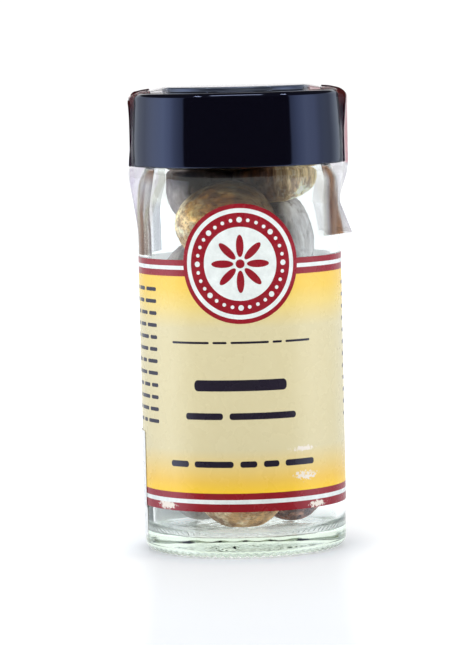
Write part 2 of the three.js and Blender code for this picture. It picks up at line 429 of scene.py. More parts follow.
def scuffed(material, where, colour, spots):  # flecks where the ink is rubbed through to the paper
    worn = None
    for place, reach, amount in spots:
        away = vectorNode(material, "SUBTRACT", where, Vector(place) * mm)
        away = vectorNode(material, "DIVIDE", away, Vector(reach) * mm)
        near = remap(material, vectorNode(material, "LENGTH", away), 1.0, 0.2, 0, amount)
        worn = near if worn is None else mathNode(material, "MAXIMUM", worn, near)
    cut = mathNode(material, "ADD", addNoise(material, where, 1500, 5, 0.65), worn)
    return mixColours(material, remap(material, cut, 0.86, 0.94), colour, (0.86, 0.78, 0.68, 1))


def groundMaterial():  # gold at both ends of the panel, fading to cream between them
    material, shader = newMaterial("labelGround", {"IOR": 1.45})
    where = paperFinish(material, shader)
    share = remap(material, heightOf(material, where), 14.8 * mm, 63.45 * mm)
    cream = linear(221, 210, 167)
    printed = addRamp(material, share, [
        (0.0, linear(255, 209, 44)), (0.05, linear(243, 200, 80)), (0.13, linear(230, 206, 136)),
        (0.2, cream), (0.76, cream), (0.87, linear(238, 212, 124)), (0.94, linear(244, 207, 92)),
        (1.0, linear(246, 205, 84))])
    tone = addNoise(material, where, 420, 4, 0.6)
    printed = mixColours(material, remap(material, tone, 0.2, 0.8, 0, 0.12), printed,
                         (0.8, 0.7, 0.5, 1), "MULTIPLY")
    feed(shader, "Base Color", scuffed(material, where, printed, wear["ground"]))
    return material


wear = {  # where the print is rubbed: a place, its reach along each axis and how much of it is gone
    "ground": [((13.4, -19, 24.2), (7, 7, 1.4), 0.5), ((13.9, -18.6, 18.2), (7, 7, 2.3), 0.48)],
    "red": [((-17.6, -15, 11.7), (5.2, 7, 1.9), 0.58), ((16.2, -16.4, 11.4), (4.4, 6, 1.6), 0.56)],
}
inks = {
    "ground": groundMaterial(),
    "red": inkMaterial("labelStripeRed", linear(148, 24, 34), wear["red"]),
    "white": inkMaterial("labelWhite", linear(232, 238, 234)),
    "badgeRed": inkMaterial("badgeRed", linear(152, 20, 36)),
    "black": inkMaterial("labelInk", linear(40, 34, 48)),
    # the backing glows: painted light on its inner face, seen through the glass
    "backing": inkMaterial("labelBacking", linear(226, 226, 222), glow=0.3),
}


def wrapFlat(bm, radius):  # a flat sheet of arc length and height, laid round the jar
    for vert in bm.verts:
        arc, height, lift = vert.co
        vert.co = aroundJar(radius + lift, arc / (label["outer"] * mm), height)


def makeLabelSheet(spec):
    bm = bmesh.new()
    half = math.radians(spec["reach"]) * spec["outer"] * mm
    foot, head = spec["bands"][0][0] * mm, spec["bands"][-1][1] * mm
    bmesh.ops.create_grid(bm, x_segments=spec["columns"], y_segments=6, size=1)
    bmesh.ops.scale(bm, verts=bm.verts, vec=(half, (head - foot) / 2, 1))
    bmesh.ops.translate(bm, verts=bm.verts, vec=(0, (head + foot) / 2, 0))
    for low, _, _ in spec["bands"][1:]:
        bmesh.ops.bisect_plane(bm, geom=bm.verts[:] + bm.edges[:] + bm.faces[:], dist=mergeDistance,
                               plane_co=(0, low * mm, 0), plane_no=(0, 1, 0))
    names = ["ground", "red", "white", "backing"]
    for face in bm.faces:
        height = face.calc_center_median().y / mm
        ink = next(ink for low, high, ink in spec["bands"] if low <= height <= high)
        face.material_index = names.index(ink)
    wrapFlat(bm, spec["outer"] * mm)
    faceOut(bm)
    sheet = makePiece("labelSheet", bm, [inks[name] for name in names], ["label"])
    thicken(sheet, (spec["outer"] - spec["inner"]) * mm, -1, backing=len(names))


def flatDisc(bm, radii, steps, place=Matrix.Identity(4), squash=1.0):
    before = set(bm.verts)
    spinLine(bm, [(radius, 0, 0) for radius in radii], steps)
    made = [vert for vert in bm.verts if vert not in before]
    bmesh.ops.scale(bm, verts=made, vec=(1, squash, 1))
    bmesh.ops.remove_doubles(bm, verts=made, dist=mergeDistance)
    made = [vert for vert in bm.verts if vert not in before]
    bmesh.ops.transform(bm, matrix=place, verts=made)


def makeBadge(spec):
    bm = bmesh.new()
    radii = [0]
    for outer, _ in spec["badgeRings"]:
        start = radii[-1]
        pieces = max(1, round((outer - start) / 1.1))
        radii += [partWay(start, outer, (i + 1) / pieces) for i in range(pieces)]
    flatDisc(bm, [radius * mm for radius in radii], spec["badgeSteps"])
    names = ["white", "badgeRed", "backing"]
    for face in bm.faces:
        radius = face.calc_center_median().length / mm
        ink = next(ink for outer, ink in spec["badgeRings"] if radius < outer)
        face.material_index = names.index(ink)
    bmesh.ops.translate(bm, verts=bm.verts, vec=(0, spec["badgeHeight"] * mm, 0))
    outer = spec["outer"] + spec["badgeProud"]
    wrapFlat(bm, outer * mm)
    faceOut(bm)
    badge = makePiece("labelBadge", bm, [inks[name] for name in names])
    thicken(badge, (outer - spec["inner"]) * mm, -1, backing=len(names))


makeLabelSheet(label)
makeBadge(label)

printed = {  # millimetres on the flat label: arc from the front, height, and sizes
    "lift": 0.012,
    "beadRadius": 0.42, "beadRing": 9.82, "beads": 32, "petals": 8,
    "petalFrom": 1.5, "petalLength": 5.0, "petalWidth": 1.7, "heartRadius": 1.0,
    "lines": [  # middle arc, height, bar height and the widths of the bars in the line
        (-0.3, 48.6, 0.5, [9.5, 3.2, 8.6, 2.2, 6.4]),
        (-0.6, 39.0, 2.5, [21.4]),
        (-0.7, 32.1, 1.5, [9.0, 15.4]),
        (-0.6, 21.3, 1.4, [5.0, 9.2, 3.8, 3.6, 7.6]),
    ],
    "wordGap": 1.5,
    "sideLines": 12, "sideWords": 4, "sideGap": 0.9, "sidePitch": 2.72, "sideTop": 60.3,
    "sideHeight": 0.85,
    "leftEdge": -22.4, "rightEdge": 32.2, "sideWidth": 20,
}


def printBar(bm, arc, height, width, tall):
    before = set(bm.verts)
    bmesh.ops.create_grid(bm, x_segments=max(1, round(width / 0.9)), y_segments=2, size=0.5)
    made = [vert for vert in bm.verts if vert not in before]
    corners = [vert for vert in made if len(vert.link_edges) == 2]
    bmesh.ops.scale(bm, verts=made, vec=(width * mm, tall * mm, 1))
    bmesh.ops.translate(bm, verts=made, vec=(arc * mm, height * mm, 0))
    bmesh.ops.bevel(bm, geom=corners, offset=tall * 0.42 * mm, affect="VERTICES",
                    segments=4, profile=0.5, material=-1)


def printLine(bm, arc, height, tall, words, gap):
    total = sum(words) + gap * (len(words) - 1)
    left = arc - total / 2
    for word in words:
        printBar(bm, left + word / 2, height, word, tall)
        left += word + gap


def makePrint(spec):
    bm = bmesh.new()
    for arc, height, tall, words in spec["lines"]:
        printLine(bm, arc, height, tall, words, spec["wordGap"] * (0.6 if tall < 1 else 1))
    for side, inner in ((-1, spec["leftEdge"]), (1, spec["rightEdge"])):
        for row in range(spec["sideLines"]):
            words = [random.uniform(2.2, 5.4) for _ in range(spec["sideWords"])]
            gaps = (spec["sideWords"] - 1) * spec["sideGap"]
            share = spec["sideWidth"] * random.uniform(0.86, 1.0) - gaps
            words = [word * share / sum(words) for word in words]
            middle = inner + side * (sum(words) + gaps) / 2
            printLine(bm, middle, spec["sideTop"] - row * spec["sidePitch"],
                      spec["sideHeight"], words, spec["sideGap"])
    wrapPrint(bm, "labelPrint", "black")


def wrapPrint(bm, name, ink, proud=0):
    wrapFlat(bm, (label["outer"] + proud + printed["lift"]) * mm)
    bmesh.ops.recalc_face_normals(bm, faces=bm.faces)
    for face in bm.faces:
        centre = face.calc_center_median()
        if face.normal.dot(Vector((centre.x, centre.y, 0))) < 0:
            face.normal_flip()
    piece = makePiece(name, bm, [inks[ink]], smooth=False)
    thicken(piece, printed["lift"] * mm, -1)


def badgePlace(turn, out):  # a place on the flat badge, out from its centre
    return (Matrix.Translation((0, label["badgeHeight"] * mm, 0)) @ Matrix.Rotation(turn, 4, "Z")
            @ Matrix.Translation((out * mm, 0, 0)))


def makeBeads(spec):  # a beaded ring in the badge's red band
    bm = bmesh.new()
    for bead in range(spec["beads"]):
        turn = 2 * math.pi * bead / spec["beads"]
        size = spec["beadRadius"] * mm * (1.5 if bead % 4 == 0 else 1)
        flatDisc(bm, [0, size], 14, badgePlace(turn, spec["beadRing"]))
    wrapPrint(bm, "badgeBeads", "white", label["badgeProud"])


def makeRosette(spec):  # a plain rosette of petals in the middle of the badge
    bm = bmesh.new()
    half = spec["petalLength"] / 2
    rings = [half * share * mm for share in (0, 0.35, 0.7, 1)]
    for petal in range(spec["petals"]):
        place = badgePlace(2 * math.pi * petal / spec["petals"], spec["petalFrom"] + half)
        flatDisc(bm, rings, 28, place, squash=spec["petalWidth"] / spec["petalLength"])
    flatDisc(bm, [0, spec["heartRadius"] * mm], 24, badgePlace(0, 0))
    wrapPrint(bm, "badgeRosette", "badgeRed", label["badgeProud"])


makePrint(printed)
makeBeads(printed)
makeRosette(printed)
print("label and print made")


# ---- sticker low on the back

sticker = {  # millimetres and degrees
    "from": -148, "to": -75, "bottom": 3.6, "top": 27.5, "labelFoot": 10.6,
    "onGlass": 23.06, "onLabel": 23.24, "thickness": 0.1, "columns": 60, "rows": 90,
    "stepBelow": 0.9, "stepLength": 0.8,  # where it climbs on to the label's edge
}


def makeSticker(s):
    bm = bmesh.new()
    bmesh.ops.create_grid(bm, x_segments=s["columns"], y_segments=s["rows"], size=1)
    for vert in bm.verts:
        azimuth = math.radians(partWay(s["from"], s["to"], (vert.co.x + 1) / 2))
        height = partWay(s["bottom"], s["top"], (vert.co.y + 1) / 2)
        step = easeIn((height - s["labelFoot"] + s["stepBelow"]) / s["stepLength"])
        vert.co = aroundJar(partWay(s["onGlass"], s["onLabel"], step) * mm, azimuth, height * mm)
    faceOut(bm)
    paper = inkMaterial("stickerPaper", linear(240, 241, 240))
    piece = makePiece("backSticker", bm, [paper], ["back_sticker"])
    thicken(piece, s["thickness"] * mm, 1)


makeSticker(sticker)
print("sticker made")


# ---- film seal

film = {  # millimetres and degrees
    "width": 33, "azimuth": 90, "tentFoot": 21.6, "over": 0.04,
    "stuck": 0.15,  # thickness where it is stuck down, which reaches into what it lies on
    "loose": 0.07,
    "bulgeRadius": 25.5, "bulgeFrom": 87, "bulgeFull": 97,  # it stands off the right of the skirt
    "end": {"left": 67.7, "right": 71.4},
    "gather": {"left": 0.755, "right": 0.87},  # the tails narrow towards the foot
    "settle": {"left": 1.7, "right": 3},  # and how soon they do
    "swing": {"left": 0.85, "right": 0.62},  # how far down they meet the glass
    "flare": 2.75, "flareStart": 0.54,
    "sunkUntil": 70, "outFrom": 76, "sunk": 0.3,  # its front edge lies inside the cap
    "skirtRows": (102.7, 100.3, 97.9, 95.5, 93.1, 90.7, 88.0), "tailRows": 9,
    "across": 75, "along": 240, "crinkle": 0.05,
    "flat": (0.99, 0.98, 0.985), "pulled": (0.74, 0.52, 0.53),  # its colour on and off the skirt
}
gum = {  # what holds the film to the cap, the outer face as radius and height in millimetres
    "from": 74, "full": 80, "thickness": 0.9, "under": 23.5, "ledgeUnder": 103.8, "rows": 90,
    "right": [
        (24.45, 87.7), (24.4, 91), (24.38, 94.5), (24.6, 97.5), (24.85, 100.5), (25.0, 102.8),
        (24.6, 103.7), (23.6, 104.4), (22.4, 104.75), (21.2, 105.0), (19.9, 105.1)],
    "left": [
        (24.8, 87.7), (24.72, 89.2), (24.5, 92), (24.5, 98), (24.6, 100.7), (24.7, 102.3),
        (24.35, 103.3), (23.5, 104.4), (22.5, 104.7), (21.4, 104.95), (20.2, 105.1)],
}
tailTints = {
    "clear": (0.97, 0.97, 0.97), "mauve": (0.76, 0.73, 0.8), "grey": (0.68, 0.68, 0.66),
    "edge": (0.42, 0.4, 0.42), "olive": (0.52, 0.48, 0.34), "brown": (0.31, 0.175, 0.1),
    "flared": (0.76, 0.74, 0.755), "behind": (0.36, 0.36, 0.4),
}
tails = {  # each tail has a dark strap in it: how far down, its edges in degrees, the bands across
    "left": [
        (0.03, (50, 59.5), [
            (0, "edge"), (0.12, "brown"), (0.62, "brown"), (0.75, "olive"), (0.95, "edge"),
            (1.12, "clear"), (2.6, "clear"), (3, "mauve")]),
        (0.2, (50.5, 68), [
            (0, "edge"), (0.2, "edge"), (0.38, "grey"), (0.52, "grey"), (0.6, "edge"),
            (0.7, "grey"), (0.85, "grey"), (0.95, "olive"), (1.08, "clear"), (1.45, "clear"),
            (1.65, "mauve")]),
        (0.53, (58, 77), [
            (0, "edge"), (0.1, "edge"), (0.18, "grey"), (0.46, "grey"), (0.53, "brown"),
            (0.72, "brown"), (0.86, "olive"), (1, "olive"), (1.25, "mauve")]),
        (0.85, (58.5, 79), [
            (0, "edge"), (0.1, "edge"), (0.18, "grey"), (0.5, "grey"), (0.56, "brown"),
            (1.02, "brown"), (1.15, "olive"), (1.3, "mauve")]),
    ],
    "right": [
        (0.03, (50, 60), [
            (0, "brown"), (0.55, "brown"), (0.75, "grey"), (0.95, "clear"), (3.5, "clear"),
            (3.8, "flared")]),
        (0.2, (52, 75), [
            (0, "clear"), (0.12, "grey"), (0.24, "edge"), (0.36, "brown"), (0.5, "brown"),
            (0.66, "grey"), (1, "clear"), (1.4, "clear"), (1.55, "flared")]),
        (0.53, (54.5, 80), [
            (0, "clear"), (0.08, "grey"), (0.26, "edge"), (0.38, "brown"), (0.82, "brown"),
            (0.89, "grey"), (0.95, "grey"), (1.02, "edge"), (1.14, "edge"), (1.35, "flared")]),
        (0.85, (54.5, 80), [
            (0, "clear"), (0.08, "grey"), (0.28, "edge"), (0.45, "brown"), (0.92, "brown"),
            (0.98, "grey"), (1.2, "flared")]),
    ],
}


def filmMaterial():
    material, shader = newMaterial("sealFilm", {
        "Roughness": 0.03, "IOR": 1.2, "Transmission Weight": 1.0})
    feed(shader, "Base Color", attribute(material, "tint"))
    return material


def gumMaterial():  # nearly black, dark red where it is thin over the shoulder of the cap
    material, shader = newMaterial("darkGum", {"Roughness": 0.5, "Specular IOR Level": 0.0})
    share = remap(material, heightOf(material, objectSpace(material)), 88 * mm, 105 * mm)
    feed(shader, "Base Color", addRamp(material, share, [
        (0.0, (0.010, 0.004, 0.012)), (0.72, (0.010, 0.002, 0.005)), (0.92, (0.055, 0.012, 0.011)),
        (1.0, (0.03, 0.008, 0.012))]))
    return material


def alongThread(points, share):  # a smooth curve through the thread's points
    spot = share * (len(points) - 1)
    index = min(int(spot), len(points) - 2)
    t = spot - index
    before, start = points[max(index - 1, 0)], points[index]
    end, after = points[index + 1], points[min(index + 2, len(points) - 1)]
    return 0.5 * (2 * start + (end - before) * t
                  + (2 * before - 5 * start + 4 * end - after) * t * t
                  + (3 * start - before - 3 * end + after) * t ** 3)


def between(stops, where):  # the value at one place of a list of places and values
    for (low, first), (high, second) in zip(stops, stops[1:]):
        if where <= high:
            share = min(1, max(0, (where - low) / (high - low)))
            return Vector(first).lerp(Vector(second), share)
    return Vector(stops[-1][1])


def gumShare(azimuth):  # how much of the gum is left at an azimuth, all of it at the side
    return easeIn((90 - abs(azimuth - 90) - gum["from"]) / (gum["full"] - gum["from"]))


def gumSkirt(name, height):
    profile = sorted((z, (r, z)) for r, z in gum[name] if z < 103)
    return between(profile, height)[0]


def filmThread(f, across, name):  # one thread of the film, from the middle of the cap's top down
    half = math.degrees(f["width"] / 2 / cap["skirtRadius"])
    azimuth = f["azimuth"] + across * half
    depth = -cap["skirtRadius"] * math.cos(math.radians(azimuth))
    over = cap["discTop"] + f["over"]
    onDisc = math.sqrt((cap["discRadius"] - 0.15) ** 2 - depth ** 2)
    onLedge = math.sqrt(f["tentFoot"] ** 2 - depth ** 2)
    full = gumShare(azimuth)
    right = name == "right"
    loose = easeIn((azimuth - f["bulgeFrom"]) / (f["bulgeFull"] - f["bulgeFrom"])) * right
    out = easeIn((azimuth - f["sunkUntil"]) / (f["outFrom"] - f["sunkUntil"]))
    middle, ledge, shares = (onDisc + onLedge) / 2, cap["ledge"], (0, 0.34, 0.67, 0.94)
    stretched = [(onDisc * share, depth, over) for share in shares]
    stretched += [(onDisc + 0.35, depth, over - 0.05), (middle, depth, (over + ledge) / 2 + 0.1),
                  (onLedge, depth, ledge + 0.2 + 0.35 * full)]
    clinging = [(onDisc * share, depth, over - 0.12) for share in shares]
    clinging += [(place, depth, ledge - 0.15) for place in (onDisc * 0.96, middle, onLedge)]
    points = [tuple(Vector(low).lerp(Vector(high), out)) for low, high in zip(clinging, stretched)]
    turn = math.degrees(math.atan2(onLedge, -depth))

    def hang(radius, around, height):
        points.append(tuple(aroundJar(radius, math.radians(around), height)))

    # over the cap's shoulder: radius and height without gum and with it, and the share of the turn
    corner = [((23.15, 104.16), (23.4, 104.25), 0.5), ((23.66, 103.7), (24.2, 103.6), 0.9)]
    for bare, gummed, swing in corner:
        radius, height = [partWay(*pair, full) - f["sunk"] * (1 - out) for pair in zip(bare, gummed)]
        hang(radius + 0.6 * loose * swing, partWay(turn, azimuth, swing), height)
    for height in f["skirtRows"]:
        radius = capSkirt(height) - 0.04 + 0.07 * out
        radius = partWay(radius, max(radius, gumSkirt(name, height) - 0.05), full)
        hang(partWay(radius, f["bulgeRadius"], loose), azimuth, height)
    skirt = capSkirt(cap["skirtFoot"]) + 0.03
    skirt = partWay(skirt, f["bulgeRadius"], loose if right else 0.6 * full)
    onGlass = glass["radius"] + 0.1
    spread = f["azimuth"] + across * half * f["gather"][name] * cap["skirtRadius"] / onGlass
    for step in range(1, f["tailRows"] + 1):
        down = step / f["tailRows"]
        flare = f["flare"] * max(0, (down - f["flareStart"]) / (1 - f["flareStart"])) * right
        hang(partWay(skirt, onGlass, easeIn(down / f["swing"][name]))
             + flare * easeIn((azimuth - 70) / 18),
             partWay(azimuth, spread, easeIn(down * f["settle"][name])),
             partWay(cap["skirtFoot"], f["end"][name], down))
    side = 1 if right else -1
    return loose, [Vector((side * x, y, z)) * mm for x, y, z in points]


def tailTint(f, name, point):
    down = (cap["skirtFoot"] - point.z / mm) / (cap["skirtFoot"] - f["end"][name])
    azimuth = math.degrees(math.atan2(abs(point.x), -point.y))
    low, high = between([(level, edges) for level, edges, bands in tails[name]], down)
    spot = (azimuth - low) / (high - low)
    shade = between([(level, between([(where, tailTints[tint]) for where, tint in bands], spot))
                     for level, edges, bands in tails[name]], down)
    if name == "right":  # all one colour where it has sprung away from the glass
        sprung = easeIn((down - f["flareStart"]) / 0.2) * easeIn((azimuth - 86) / 5)
        return shade.lerp(Vector(tailTints["flared"]), sprung)
    dark = easeIn((down - 0.35) / 0.15)
    behind = between([(0, tailTints["grey"]), (1, tailTints["behind"])], dark)
    rear = 120 - 14 * easeIn(down / 0.4)  # and darker from here on round the back of the jar
    return shade.lerp(behind, easeIn((azimuth - rear) / 3))


def makeFilm(f):
    bm = bmesh.new()
    bmesh.ops.create_grid(bm, x_segments=f["along"], y_segments=f["across"], size=1)
    tint = bm.verts.layers.float_color.new("tint")
    weight = bm.verts.layers.deform.verify()
    threads = {}
    for vert in bm.verts:
        across = round(vert.co.y, 5)
        name = "right" if vert.co.x >= 0 else "left"
        if (across, name) not in threads:
            threads[across, name] = filmThread(f, across, name)
        loose, points = threads[across, name]
        share = abs(vert.co.x)
        point = alongThread(points, share)
        out = Vector((point.x, point.y, 0)).normalized()
        below = easeIn((cap["skirtFoot"] * mm - point.z) / (3 * mm))
        wave = noise.noise(Vector((across * 2.2, share * 9, 3.0 * (name == "right"))))
        vert.co = point + out * max(0, wave) * f["crinkle"] * mm * below
        onSkirt = Vector(f["flat"]).lerp(Vector(f["pulled"]), min(1, 3 * loose))
        under = easeIn((cap["skirtFoot"] * mm - point.z) / (0.6 * mm))
        vert[tint] = (*onSkirt.lerp(tailTint(f, name, point), under), 1)
        thin = max(below, loose, easeIn((point.z / mm - 103.2) / 0.4) * (abs(point.x) > 0.008))
        rim = easeIn(min((1 - abs(across)) * 12, (1 - share) * 40)) if below > 0.5 else 1
        vert[weight][0] = (1 + (f["loose"] / f["stuck"] - 1) * thin) * max(0.15, rim)
    bmesh.ops.recalc_face_normals(bm, faces=bm.faces)
    top = max(bm.faces, key=lambda face: face.calc_center_median().z)
    if top.normal.z < 0:
        bmesh.ops.reverse_faces(bm, faces=bm.faces)
    piece = makePiece("sealFilm", bm, [filmMaterial()], ["seal_strip"])
    piece.vertex_groups.new(name="thickness")
    solid = thicken(piece, f["stuck"] * mm, -1)
    solid.use_even_offset = False
    solid.vertex_group = "thickness"


def makeGum(g, name, side):
    bm = bmesh.new()
    bmesh.ops.create_grid(bm, x_segments=36, y_segments=g["rows"], size=1)
    line = [Vector((radius, 0, height)) for radius, height in g[name]]
    for vert in bm.verts:
        azimuth = 90 + vert.co.x * (90 - g["from"])
        outer = alongThread(line, (vert.co.y + 1) / 2)
        inner = Vector((min(outer.x, g["under"]), 0, min(outer.z, g["ledgeUnder"])))
        spot = inner.lerp(outer, gumShare(azimuth))
        vert.co = aroundJar(spot.x * mm, math.radians(side * azimuth), spot.z * mm)
    faceOut(bm)
    piece = makePiece("sealGum" + name.capitalize(), bm, [gumMaterial()], ["seal_strip"])
    thicken(piece, g["thickness"] * mm, -1)


makeFilm(film)
makeGum(gum, "right", 1)
makeGum(gum, "left", -1)
print("film seal made")


# ---- nutmegs

nuts = [  # centre in mm, length, width, tilt of the long axis and the azimuth it leans to, kind
    ((-1.3, -11.2, 14.7), 20.6, 18.6, 82, 84, "tan"),
    ((-9.6, 6.2, 16.6), 23, 18.2, 14, 200, "grey"),
    ((10.3, 4.7, 16.8), 23.6, 18.4, 12, 150, "dark"),
    ((-10.8, -4.4, 35.2), 23, 18.4, 10, 250, "brown"),
    ((8.8, -7.4, 34.2), 22.6, 18.2, 12, 60, "tan"),
    ((0.6, 11.4, 33), 19.8, 18, 74, 80, "grey"),
    ((4.8, -10.7, 54.2), 22.4, 18.2, 66, 100, "brown"),
    ((-11, 3.2, 58.2), 24.6, 18.6, 12, 262, "grey"),
    ((8.6, 7.4, 49.4), 20.4, 17.8, 78, 39, "tan"),
    ((-2.8, -9.3, 74.3), 22.8, 20.8, 84, 88, "tan"),
    ((8.2, 7, 70), 21.6, 18.4, 12, 80, "grey"),
    ((-8.3, 6.4, 83.8), 21.6, 17.8, 10, 290, "grey"),
    ((7.9, 0.6, 89.8), 20.4, 19.6, 20, 160, "tan"),
]
nutLightShadeAndPatches = {  # on some nuts, painted light and shade and a few patches of their own colour: where it faces, how far it reaches and what it does to the colour
    # nut 0: painted light over most of it, strongest underneath
    0: [((0, 0, -1), 1.9, (1.6, 1.75, 2.1))],
    # nut 2: warm painted light underneath
    2: [((0, -0.3, -1), 1.2, (3.4, 2, 1.6))],
    # nut 9: painted shade on its top under the cap, painted light on its left, and a small orange
    # patch of its own colour
    9: [((0.5, -0.35, 0.75), 1.2, (0.25, 0.22, 0.2)), ((-1, -0.4, -0.35), 0.8, (1.7, 2.15, 2.9)),
        ((-0.36, -0.83, 0.42), 0.14, (1.6, 1.3, 0.75))],
    # nut 10: painted shade on its left, in the gap beside its neighbour, and painted light on its
    # right
    10: [((-1, -0.5, 0.1), 1.1, (0.14, 0.11, 0.11)), ((1, -0.3, 0), 1.6, (1.15, 1.24, 1.34))],
    # nut 11: painted shade over its top under the cap, and painted light low on its left
    11: [((0.5, -0.45, 0.75), 1.25, (0.09, 0.055, 0.04)), ((-0.55, -0.35, 1), 0.75, (0.2, 0.13, 0.1)),
         ((-0.6, -0.5, -0.8), 0.6, (1.4, 1.4, 1.45))],
    # nut 12: darker on its left, and bluish painted light on its right
    12: [((-0.9, -0.5, 0), 1.15, (0.18, 0.11, 0.09)), ((1, -0.6, -0.2), 0.8, (1.8, 2.5, 3.6))],
}
blockyNuts = {12: (-1, 3.4), 10: (1, 3.2)}  # the end that is squarer than an ellipse, and its power
nutSkin = {
    "fineness": 6,  # icosphere subdivisions
    "wrinkle": 0.34, "dent": 0.55, "pits": 0.07, "sink": 0.12,  # millimetres deep
    "marks": {"tan": 1, "brown": 1, "dark": 1, "grey": 0.45},  # how strongly veins and streaks show
    "colours": {  # dark hollows, middle, pale ridges and lime dust
        "tan": ((108, 72, 42), (188, 144, 90), (224, 194, 138), (230, 212, 170)),
        "brown": ((62, 42, 30), (128, 96, 64), (176, 148, 110), (198, 184, 164)),
        "dark": ((28, 20, 18), (60, 44, 36), (96, 78, 62), (140, 130, 118)),
        "grey": ((128, 118, 112), (184, 177, 171), (208, 203, 198), (224, 221, 216)),
    },
}


def nutMaterial(kind):
    material, shader = newMaterial("nutmeg" + kind.capitalize(), {"Specular IOR Level": 0.15})
    grain, hollow = attribute(material, "grain", "Vector"), attribute(material, "hollow", "Fac")
    where = objectSpace(material)
    dark, middle, pale, dust = [linear(*c) for c in nutSkin["colours"][kind]]
    mottle = addNoise(material, grain, 1.1, 5, 0.62)
    colour = addRamp(material, mottle, [(0.36, dark), (0.5, middle), (0.66, pale)])
    vein = addNoise(material, grain, 4.5, 4, 0.6)
    streak = addNoise(material, vectorNode(material, "MULTIPLY", grain, (1, 1, 0.25)), 12, 4, 0.6)
    powder = addNoise(material, where, 260, 5, 0.65)
    marks = nutSkin["marks"][kind]
    layers = [  # what it follows, where that starts and is full, how much shows and in what colour
        (vein, 0.48, 0.62, 0.7 * marks, dark), (streak, 0.52, 0.6, 0.65 * marks, dark),
        (hollow, 0.35, 0.9, 0.75, dark), (powder, 0.5, 0.66, 0.65 * marks, dust)]
    for source, low, high, amount, over in layers:
        share = remap(material, source, low, high, 0, amount)
        colour = mixColours(material, share, colour, (*over, 1))
    # times the tone attribute, which holds painted light and shade on some nuts
    colour = mixColours(material, 1.0, colour, attribute(material, "tone"), "MULTIPLY")
    feed(shader, "Base Color", colour)
    feed(shader, "Roughness", remap(material, mottle, 0.3, 0.7, 0.5, 0.78))
    addBump(material, shader, addNoise(material, where, 2400, 5, 0.65), 0.5, 0.00012)
    return material


def ridged(place):
    return 1 - abs(noise.noise(place)) * 2


def makeBall():  # every nut starts as a copy of this unit ball
    bm = bmesh.new()
    bmesh.ops.create_icosphere(bm, subdivisions=nutSkin["fineness"], radius=1)
    return newMesh("unitBall", bm)


# painted light and shade for a nut, and patches of its own colour, by where its surface faces
def lightShadeAndPatchesAt(number, facing):
    tone = Vector((1, 1, 1))
    for direction, reach, change in nutLightShadeAndPatches.get(number, []):
        near = facing.dot(Vector(direction).normalized()) + 0.25 * noise.noise(facing * 2.5)
        tone *= Vector((1, 1, 1)).lerp(Vector(change), easeIn((near - 1 + reach) / (0.5 * reach)))
    return tone


def addNut(bm, ball, number, centre, length, width, tilt, towards):
    grain = bm.verts.layers.float_vector["grain"]
    hollow = bm.verts.layers.float["hollow"]
    tone = bm.verts.layers.float_color["tone"]
    lean = math.radians(towards)
    axis = Vector((math.cos(lean), math.sin(lean), 0))
    turn = Matrix.Rotation(-math.radians(tilt), 4, axis) @ Matrix.Rotation(1.3 * number, 4, "Z")
    before = len(bm.verts)
    bm.from_mesh(ball)
    bm.verts.ensure_lookup_table()
    made = bm.verts[before:]
    shift = Vector((7.3 * number, 3.1 * number, -5.7 * number))
    for vert in made:
        along = vert.co.z
        girth = width / 2 * (1 - 0.07 * along - 0.03 * along * along)
        base = Vector((vert.co.x * girth, vert.co.y * girth, along * length / 2))
        blockyEnd, power = blockyNuts.get(number, (0, 2))
        if along * blockyEnd > 0:
            waist = math.sqrt(max(0, 1 - along * along))
            base *= (waist ** power + abs(along) ** power) ** (-1 / power)
        local = Vector((base.x, base.y, base.z * 0.42))
        veins = ridged(local * 0.33 + shift) * 0.6 + ridged(local * 0.8 - shift) * 0.4
        groove = max(0, (veins - 0.55) / 0.45) ** 1.6
        push = (noise.noise(base * 0.11 + shift) * nutSkin["dent"] - groove * nutSkin["wrinkle"]
                + noise.noise(base * 1.3 + shift) * nutSkin["pits"] - nutSkin["sink"])
        outward = Vector((vert.co.x, vert.co.y, vert.co.z * width / length)).normalized()
        vert.co = (base + outward * push) * mm
        vert[grain] = local * 0.16 + shift
        vert[hollow] = min(1, groove * 1.2)
        # the tone is painted light and shade, with a few patches of the nut's own colour
        vert[tone] = (*lightShadeAndPatchesAt(number, turn.to_3x3() @ outward), 1)
    place = Matrix.Translation(Vector(centre) * mm) @ turn
    bmesh.ops.transform(bm, matrix=place, verts=made)


def makeNuts():
    ball = makeBall()
    for kind in nutSkin["colours"]:
        bm = bmesh.new()
        bm.verts.layers.float_vector.new("grain")
        bm.verts.layers.float.new("hollow")
        bm.verts.layers.float_color.new("tone")
        for number, (centre, length, width, tilt, towards, own) in enumerate(nuts):
            if own == kind:
                addNut(bm, ball, number, centre, length, width, tilt, towards)
        bmesh.ops.recalc_face_normals(bm, faces=bm.faces)
        makePiece("nutmegs" + kind.capitalize(), bm, [nutMaterial(kind)], ["nutmegs"])
    bpy.data.meshes.remove(ball)


makeNuts()
print("nutmegs made")


# ---- floor, light and world

